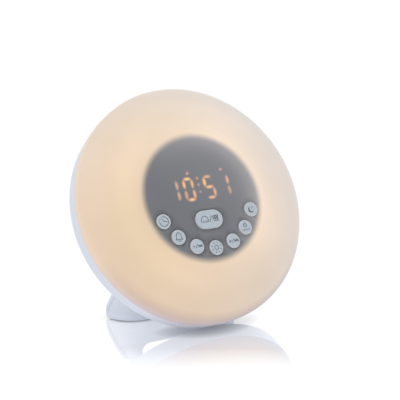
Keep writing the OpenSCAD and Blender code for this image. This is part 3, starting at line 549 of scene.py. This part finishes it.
LIT_WAVE, LIT_SPAN = (0.11, 1), (0.38, 0.62)
LIT_LEVEL, LIT_ROUGH = (0.4, 0.9), 0.4
LIT_DIM, LIT_BRIGHT, LIT_BODY = (1.0, 0.40, 0.22), (1.0, 0.44, 0.09), (0.9, 0.55, 0.25)


def lit_material():
    """Amber light guides; a slow wave makes some segments brighter, as a scanned display does."""
    m = new_material("segments_lit")
    wave = m.noise(m.lamp(), *LIT_WAVE)
    warm = m.remap(wave, *LIT_SPAN, 0, 1, smooth=True)
    return m.surface(m.shader(
        "BsdfPrincipled",
        Base_Color=rgba(LIT_BODY),
        Roughness=LIT_ROUGH,
        Emission_Color=m.mix(warm, rgba(LIT_DIM), rgba(LIT_BRIGHT)),
        Emission_Strength=m.remap(wave, *LIT_SPAN, *LIT_LEVEL, smooth=True),
    ))


# ---------------------------------------------------------------- diffuser
OUTSIDE, INSIDE = 0, 1  # its two materials
LATHE_STEPS, HOLE_STEPS = 240, 48
CORNER_STEPS, SHOULDER_STEPS = 14, 40
HOLE_BEVEL = 0.18
HOLE_SLACK = 0.02  # faces whose middle lies this far inside a hole's outline are left out
GRID_R, GRID_STEP = 57, 4  # extent and spacing of the points between the holes that give the curve
GRID_MARGIN = 1.6  # least distance from a key to one of them
INSIDE_OUTLINE, POINT_GAP = 1, 1e-6  # the triangulation's kind and its smallest distance
MERGE_GAP = 1e-4  # points of neighbouring surfaces closer than this become one


def dome_profile(inset):
    """Outline over the corner and the shoulder, up to where the crown starts."""
    turn = math.pi / 2 - CROWN_TURN - CORNER_TURN
    corner = [
        polar(*CORNER_C, CORNER_R - inset, CORNER_TURN * k / CORNER_STEPS)
        for k in range(CORNER_STEPS + 1)
    ]
    shoulder = [
        polar(*SHOULDER_C, SHOULDER_R - inset, CORNER_TURN + turn * k / SHOULDER_STEPS)
        for k in range(1, SHOULDER_STEPS + 1)
    ]
    return corner + shoulder


def lathe(bm, profile, slot):
    """Turns an outline round the lamp's axis."""
    rings = [
        [bm.verts.new((x, y, z)) for x, y in circle_pts(0, 0, radius, LATHE_STEPS)]
        for radius, z in profile
    ]
    bridge(bm, rings, slot)


def hole_loops(grow):
    """Outlines of the keys' holes, wider by grow all round."""
    radius = KEY_R + KEY_GAP + grow
    loops = [circle_pts(*key_at(i), radius, HOLE_STEPS) for i in range(len(ROUND_KEYS))]
    x, y, width, height = SNOOZE
    loops.append(pill_pts(x, y, width + 2 * (KEY_GAP + grow), height + 2 * (KEY_GAP + grow)))
    return loops


def key_distance(x, y):
    """From a point to the middle of the nearest round key."""
    return min(math.dist((x, y), key_at(i)) for i in range(len(ROUND_KEYS)))


def near_key(x, y):
    """Whether a point of the crown's grid would crowd the outline of a hole."""
    sx, sy, width, height = SNOOZE
    by_snooze = abs(x - sx) < width / 2 + GRID_MARGIN and abs(y - sy) < height / 2 + GRID_MARGIN
    return by_snooze or key_distance(x, y) < KEY_R + GRID_MARGIN


def in_hole(x, y):
    """Whether a face with this middle would close a key's hole."""
    sx, sy, width, height = SNOOZE
    beside = max(abs(x - sx) - (width - height) / 2, 0)
    in_snooze = math.hypot(beside, y - sy) < height / 2 + KEY_GAP - HOLE_SLACK
    return in_snooze or key_distance(x, y) < KEY_R + KEY_GAP - HOLE_SLACK


def front_with_holes(bm, inset, ring, holes, slot):
    """Fills the crowned front between the outer ring and the key holes."""
    pts, edges = [], []
    for loop in [ring] + holes:
        edges += [(len(pts) + k, len(pts) + (k + 1) % len(loop)) for k in range(len(loop))]
        pts += loop
    lines = range(-(GRID_R // GRID_STEP) * GRID_STEP, GRID_R, GRID_STEP)
    for x in lines:
        pts += [(x, y) for y in lines if math.hypot(x, y) < GRID_R and not near_key(x, y)]
    flat = [Vector(p) for p in pts]
    verts, _, faces, *_ = delaunay_2d_cdt(flat, edges, [], INSIDE_OUTLINE, POINT_GAP)
    new = [bm.verts.new((p.x, p.y, crown_z(p.length, inset))) for p in verts]
    for face in faces:
        middle = sum(verts[i].x for i in face) / 3, sum(verts[i].y for i in face) / 3
        if not in_hole(*middle):
            bm.faces.new([new[i] for i in face]).material_index = slot


def make_diffuser():
    bm = bmesh.new()
    outer, inner = dome_profile(SKIN), dome_profile(DOME_WALL)
    outer_ring = circle_pts(0, 0, outer[-1][0], LATHE_STEPS)
    inner_ring = circle_pts(0, 0, inner[-1][0], LATHE_STEPS)
    seam = (CASE_R - SKIN, SEAM_GAP)
    ledge = (CASE_R - DOME_WALL - SEAM_LEDGE, SEAM_GAP)
    lathe(bm, [seam] + outer, OUTSIDE)
    front_with_holes(bm, SKIN, outer_ring, hole_loops(HOLE_BEVEL), OUTSIDE)
    lathe(bm, [ledge, seam], OUTSIDE)
    lathe(bm, [ledge] + inner, INSIDE)
    front_with_holes(bm, DOME_WALL, inner_ring, hole_loops(0), INSIDE)
    for wide, narrow in zip(hole_loops(HOLE_BEVEL), hole_loops(0)):
        rows = [
            [bm.verts.new((x, y, crown_z(math.hypot(x, y), inset) - drop)) for x, y in loop]
            for loop, inset, drop in (
                (wide, SKIN, 0), (narrow, SKIN, HOLE_BEVEL), (narrow, DOME_WALL, 0)
            )
        ]
        bridge(bm, rows, OUTSIDE)
    bmesh.ops.remove_doubles(bm, verts=bm.verts, dist=MERGE_GAP)
    to_world(bm)
    obj = finish_mesh("diffuser", bm, "case", sharp=40)
    obj.data.materials.append(diffuser_material())
    obj.data.materials.append(inside_material())
    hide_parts("diffuser_dome")


# ---------------------------------------------------------------- printed symbols
STROKE = 0.42
PRINT_THICK, PRINT_SUNK = 0.03, 0.02  # above the key's top, and into it
DOT_STEPS = 14


class Print:
    """Thin printed strokes on a key, in millimetres from the key's centre."""

    def __init__(self, name, key, mat):
        self.bm = bmesh.new()
        self.name = name
        self.body = key + "_key"
        self.x, self.y = KEYS[key][:2]
        self.mat = mat

    def layer(self, pts, z):
        return [self.bm.verts.new((self.x + x, self.y + y, z)) for x, y in pts]

    def shape(self, pts):
        """A filled convex outline."""
        low, high = self.layer(pts, KEY_TOP - PRINT_SUNK), self.layer(pts, KEY_TOP + PRINT_THICK)
        self.bm.faces.new(high)
        self.bm.faces.new(low[::-1])
        bridge(self.bm, [low, high], 0)

    def line(self, pts, width=STROKE, closed=False):
        """A stroke through the points; each piece of it runs on by a quarter of its width."""
        ends = list(zip(pts, pts[1:]))
        if closed:
            ends.append((pts[-1], pts[0]))
        for (x0, y0), (x1, y1) in ends:
            length = math.hypot(x1 - x0, y1 - y0)
            along_x, along_y = (x1 - x0) / length * width, (y1 - y0) / length * width
            side_x, side_y = -along_y / 2, along_x / 2
            x0, y0 = x0 - along_x / 4, y0 - along_y / 4
            x1, y1 = x1 + along_x / 4, y1 + along_y / 4
            self.shape([
                (x0 + side_x, y0 + side_y), (x0 - side_x, y0 - side_y),
                (x1 - side_x, y1 - side_y), (x1 + side_x, y1 + side_y),
            ])

    def ring(self, cx, cy, radius, start=0, end=360, steps=28, width=STROKE):
        """A stroke round a centre, from one angle in degrees to another."""
        start, end = math.radians(start), math.radians(end)
        outer, inner = radius + width / 2, radius - width / 2
        for k in range(steps):
            a, b = (start + (end - start) * i / steps for i in (k, k + 1))
            corners = ((outer, a), (outer, b), (inner, b), (inner, a))
            self.shape([polar(cx, cy, *corner) for corner in corners])

    def dot(self, cx, cy, radius):
        self.shape(circle_pts(cx, cy, radius, DOT_STEPS))

    def done(self):
        to_world(self.bm)
        obj = finish_mesh(self.name, self.bm, self.body, smooth=False)
        obj.data.materials.append(self.mat)


def make_symbols():
    ink = plastic("key_print", (0.045, 0.06, 0.09), rough=0.5, vary=0.12)
    faint = plastic("key_print_faint", (0.22, 0.23, 0.25), rough=0.5, vary=0.12)
    print_clock(ink)
    print_alarm(ink)
    print_back(ink)
    print_light(ink)
    print_forward(ink)
    print_timer(ink, faint)
    print_night(ink, faint)
    print_snooze(ink)


def print_clock(ink):
    """A dial whose ring is broken up at one side, with two hands."""
    sign = Print("clock_symbol", "clock", ink)
    sign.ring(0, 0, 3.3, -165, 95, 30)
    for start in (106, 130, 154, 178):
        sign.ring(0, 0, 3.3, start, start + 13, 3, width=STROKE * 0.85)
    sign.line([(-1.0, 1.75), (0, 0), (2.2, -0.25)])
    sign.done()


def print_alarm(ink):
    """A bell with its clapper."""
    sign = Print("alarm_symbol", "alarm", ink)
    left = [(-2.55, -1.6), (-1.9, -0.7), (-1.75, 1.2), (-1.1, 2.5)]
    right = [(-x, y) for x, y in reversed(left)]
    sign.line(left + [(0, 3.1)] + right, closed=True)
    sign.ring(0, -2.0, 0.95, 190, 350, 8)
    sign.done()


def print_back(ink):
    """A minus, a slash and the sign for skipping back."""
    sign = Print("back_symbol", "back", ink)
    sign.line([(-3.4, 0.0), (-1.7, 0.0)])
    sign.line([(-1.2, -1.3), (0.2, 1.4)], STROKE * 0.9)
    sign.line([(0.75, 0.95), (0.75, -0.95)], STROKE * 0.9)
    for tip, base in ((0.9, 2.3), (2.3, 3.7)):
        sign.shape([(tip, 0), (base, 1.05), (base, -1.05)])
    sign.done()


def print_light(ink):
    """A sun with eight rays."""
    sign = Print("light_symbol", "light", ink)
    sign.ring(0, 0, 1.45)
    for k in range(8):
        turn = math.pi * (k + 0.5) / 4
        sign.line([polar(0, 0, 2.9, turn), polar(0, 0, 4.0, turn)], STROKE * 1.1)
    sign.done()


def print_forward(ink):
    """A plus, a slash and the sign for skipping forward."""
    sign = Print("forward_symbol", "forward", ink)
    sign.line([(-3.5, -0.1), (-1.8, -0.1)])
    sign.line([(-2.65, 0.75), (-2.65, -0.95)])
    sign.line([(-1.2, -1.3), (0.2, 1.4)], STROKE * 0.9)
    for base, tip in ((0.7, 2.1), (2.1, 3.5)):
        sign.shape([(base, 1.05), (base, -1.05), (tip, 0)])
    sign.line([(3.65, 0.95), (3.65, -0.95)], STROKE * 0.9)
    sign.done()


def print_timer(ink, faint):
    """An open ring with a stroke at its top, over a row of faint marks."""
    sign = Print("timer_symbol", "timer", ink)
    sign.ring(-0.1, 1.55, 1.25, 120, 420, 20, width=STROKE * 1.1)
    sign.line([(-0.1, 1.7), (-0.1, 3.3)])
    sign.done()
    marks = Print("timer_marks", "timer", faint)
    for k in range(5):
        marks.line([(-2.9 + 1.35 * k, -2.5), (-2.35 + 1.35 * k, -1.15)], STROKE * 1.2)
    marks.done()


def print_night(ink, faint):
    """A crescent moon with two faint stars."""
    moon = Print("night_symbol", "night", ink)
    start, sweep, steps = 115, 225, 16
    for k in range(steps):
        a, b = (math.radians(start + sweep * i / steps) for i in (k, k + 1))
        outer = [(2.15 * math.cos(turn) - 0.2, 2.15 * math.sin(turn) - 0.3) for turn in (a, b)]
        inner = [(0.35 + 1.85 * math.cos(turn) * 0.95, 0.12 + 1.85 * math.sin(turn)) for turn in (b, a)]
        moon.shape(outer + inner)
    moon.done()
    stars = Print("night_stars", "night", faint)
    stars.dot(1.2, 1.5, 0.5)
    stars.dot(0.6, 0.4, 0.35)
    stars.done()


def print_snooze(ink):
    """A bell's dome over a row of marks, a slash, and a zigzag between two strokes."""
    sign = Print("snooze_symbol", "snooze", ink)
    sign.ring(-3.6, 0.0, 2.5, 12, 168, 16)
    sign.line([(-6.05, 0.5), (-6.7, -1.9)], STROKE * 1.1)
    sign.line([(-1.15, 0.5), (-0.9, -1.7)], STROKE * 1.1)
    for k in range(4):
        odd = k % 2
        sign.line([(-5.5 + 1.15 * k, -2.0 - 0.12 * odd), (-4.9 + 1.15 * k, -1.0 + 0.2 * odd)])
    sign.line([(0.1, -1.9), (1.9, 2.1)], STROKE * 1.1)
    zigzag = [(2.6, 1.6), (3.4, -0.9), (4.1, 1.9), (4.9, -1.1), (5.6, 2.1), (6.4, -1.3), (6.9, 2.3)]
    sign.line(zigzag, STROKE * 1.15)
    sign.line([(3.2, 1.9), (6.6, 2.3)])
    sign.line([(3.0, -1.5), (7.1, -1.7)], STROKE * 0.8)
    sign.done()


# ---------------------------------------------------------------- dress the CAD nodes
PANEL_COLOR = (0.035, 0.035, 0.038)
UNLIT_COLOR = (0.05, 0.05, 0.052)


def dress(node, mat):
    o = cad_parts[node]
    o.data.materials.clear()
    o.data.materials.append(mat)


def dress_nodes():
    shell = shell_material()
    for n in ("rear_shell", "battery_door", "stand_bracket"):
        dress(n, shell)
    dress("display_mask", plastic("panel_dark", PANEL_COLOR, rough=0.6, vary=0.05, spec=0.25))
    dress("display_module", plastic("module_black", (0.02, 0.02, 0.022), rough=0.5))
    dress("lit_segments", lit_material())
    dress("dark_segments", plastic("segments_unlit", UNLIT_COLOR, rough=0.4))
    for key, place_and_size in KEYS.items():
        dress(key + "_button", key_material("key_" + key, *place_and_size))
        dress(key + "_plunger", plastic("plunger_" + key, (0.6, 0.6, 0.58), rough=0.5))
    dress("reflector_frame", plastic("reflector_white", (0.85, 0.85, 0.83), rough=0.6))
    dress("light_board", plastic("light_board_white", (0.80, 0.81, 0.77), rough=0.45))
    dress("light_leds", plastic("led_yellow", (0.90, 0.70, 0.25), rough=0.3))
    for n in ("button_board", "main_board"):
        dress(n, plastic(n + "_green", (0.03, 0.16, 0.07), rough=0.4, vary=0.1))
    for n in ("switch_cases", "board_chips", "power_jack"):
        dress(n, plastic(n + "_black", (0.025, 0.025, 0.028), rough=0.45, vary=0.08))
    dress("board_capacitors", plastic("capacitor_sleeve", (0.04, 0.06, 0.13), rough=0.35))
    dress("ribbon_cable", plastic("ribbon_grey", (0.55, 0.54, 0.50), rough=0.5, vary=0.08))
    dress("speaker_basket", plastic("basket_black", (0.03, 0.03, 0.033), rough=0.4, grain_strength=0.15))
    dress("speaker_magnet", metal("magnet_grey", (0.30, 0.31, 0.32), 0.45))
    paper = plastic("cone_paper", (0.02, 0.02, 0.02), rough=0.85, grain=1.5, grain_strength=0.5)
    dress("speaker_cone", paper)
    dress("speaker_leads", plastic("lead_red", (0.45, 0.04, 0.03), rough=0.4))
    dress("power_jack_pin", metal("jack_pin_metal", (0.85, 0.80, 0.65), 0.2, grain=0.8))
    dress("battery_contacts", metal("contact_metal", (0.75, 0.75, 0.74), 0.3))
    dress("backup_cells", plastic("cell_sleeve", (0.28, 0.20, 0.06), rough=0.3))
    screw = metal("screw_zinc", (0.60, 0.61, 0.63), 0.35)
    for n in ("case_screws", "mask_screws", "board_screws", "speaker_screws"):
        dress(n, screw)
    rubber = plastic("pad_rubber", (0.52, 0.54, 0.58), rough=0.7, grain=2.0, grain_strength=0.3)
    dress("stand_pads", rubber)


# ---------------------------------------------------------------- stage, in metres
FLOOR_COLOR, FLOOR_GLOW = (0.21, 0.22, 0.24), (0.97, 0.98, 1)
FLOOR_LIFT = 0.92  # the floor's own light as the camera sees it
FLOOR_BOUNCE = 0.71  # and as it falls on the clock
CONTACT = 0.0095  # the floor is darker to the camera closer than this to the clock
UNDER, UNDER_SHADE = 0.02, 0.65  # and dimmer to the clock itself closer than this, by up to this share
FLOOR_HALF = 6.0
NEAR_SAMPLES, UNDER_SAMPLES = 8, 4
FLOOR_GLOSS, FLOOR_ROUGH = 0.59, 0.02
FADE = (-0.135, -0.082)  # the mirror image fades out towards the front between these
FADE_SLANT = 0.585  # slope that turns the fade square to the camera's view
WORLD_TINT, WORLD_LEVEL = (0.93, 0.96, 1.0), 0.45
# name, direction it comes from, spread in degrees, strength
LIGHTS = (
    ("key", (0.9, -0.6, 1.2), 50, 0.78),
    ("top", (-1.0, 0.3, 1.2), 60, 0.78),
)


def floor_material():
    """Pale floor with its own even light, contact shade, and a mirror image that fades out."""
    m = new_material("floor_white")
    x, y, _ = m.xyz(m.node("ShaderNodeTexCoord").outputs["Object"])
    fade = m.remap(m.math("MULTIPLY_ADD", x, FADE_SLANT, y), *FADE, 0.0, 1.0)
    camera = m.node("ShaderNodeLightPath").outputs["Is Camera Ray"]
    near, under = m.occlusion(CONTACT, NEAR_SAMPLES), m.occlusion(UNDER, UNDER_SAMPLES)
    shaded, open_share = FLOOR_BOUNCE * UNDER_SHADE, FLOOR_BOUNCE * (1 - UNDER_SHADE)
    bounce = m.math("MULTIPLY_ADD", under, shaded, open_share)
    seen = m.math("SUBTRACT", m.math("MULTIPLY", near, FLOOR_LIFT), bounce)
    strength = m.math("MULTIPLY_ADD", seen, camera, bounce)
    matt = m.node("ShaderNodeAddShader")
    m.put(matt.inputs[0], m.shader("BsdfDiffuse", Color=rgba(FLOOR_COLOR)))
    m.put(matt.inputs[1], m.shader("Emission", Color=rgba(FLOOR_GLOW), Strength=strength))
    mirror = m.shader("BsdfGlossy", Color=(1, 1, 1, 1), Roughness=FLOOR_ROUGH)
    share = m.math("MULTIPLY", m.math("MULTIPLY", fade, FLOOR_GLOSS), camera)
    return m.surface(m.mix_shader(share, matt.outputs[0], mirror))


def make_floor():
    bm = bmesh.new()
    bmesh.ops.create_grid(bm, x_segments=1, y_segments=1, size=FLOOR_HALF)
    floor = finish_mesh("floor", bm, None, smooth=False)
    floor.data.materials.append(floor_material())


def make_world():
    """White where it is seen, mirrored or shines through, and a softer light on everything else."""
    world = bpy.data.worlds.new("studio")
    bpy.context.scene.world = world
    m = Nodes(world, "ShaderNodeOutputWorld")
    soft = m.shader("Background", Color=rgba(WORLD_TINT), Strength=WORLD_LEVEL)
    white = m.shader("Background", Color=(1, 1, 1, 1), Strength=1.0)
    rays = m.node("ShaderNodeLightPath").outputs
    looked_at = m.math("MAXIMUM", rays["Is Camera Ray"], rays["Is Glossy Ray"])
    looked_at = m.math("MAXIMUM", looked_at, rays["Is Transmission Ray"])
    m.surface(m.mix_shader(looked_at, soft, white))


def make_lights():
    for name, toward, spread, power in LIGHTS:
        lamp = bpy.data.lights.new(name, "SUN")
        lamp.angle = math.radians(spread)
        lamp.energy = power
        obj = bpy.data.objects.new(name, lamp)
        obj.rotation_euler = (-Vector(toward)).to_track_quat("-Z", "Y").to_euler()
        obj.location = Vector(toward)
        bpy.context.scene.collection.objects.link(obj)


# ---------------------------------------------------------------- camera, in metres
YAW, DOWN = math.radians(30.325), math.radians(13.419)
DISTANCE, SIDEWAYS, HIGHER = 0.86817, 0.00758, 0.00423  # from the lamp's centre
CLIP_START = 0.01
LENS, SENSOR = 112.185, 36  # in millimetres, as Blender gives them


def make_camera():
    fwd = Vector((math.sin(YAW) * math.cos(DOWN), math.cos(YAW) * math.cos(DOWN), -math.sin(DOWN)))
    right = Vector((math.cos(YAW), -math.sin(YAW), 0))
    up = right.cross(fwd)
    cam = bpy.data.cameras.new("camera")
    cam.lens = LENS
    cam.sensor_width = SENSOR
    cam.clip_start = CLIP_START
    obj = bpy.data.objects.new("camera", cam)
    place = LAMP + right * SIDEWAYS + up * HIGHER - fwd * DISTANCE
    rot = Matrix((right, up, -fwd)).transposed().to_4x4()
    obj.matrix_world = Matrix.Translation(place) @ rot
    bpy.context.scene.collection.objects.link(obj)
    bpy.context.scene.camera = obj


make_camera()
make_floor()
make_world()
make_lights()
make_diffuser()
make_symbols()
dress_nodes()
bpy.context.scene.view_settings.view_transform = "Standard"
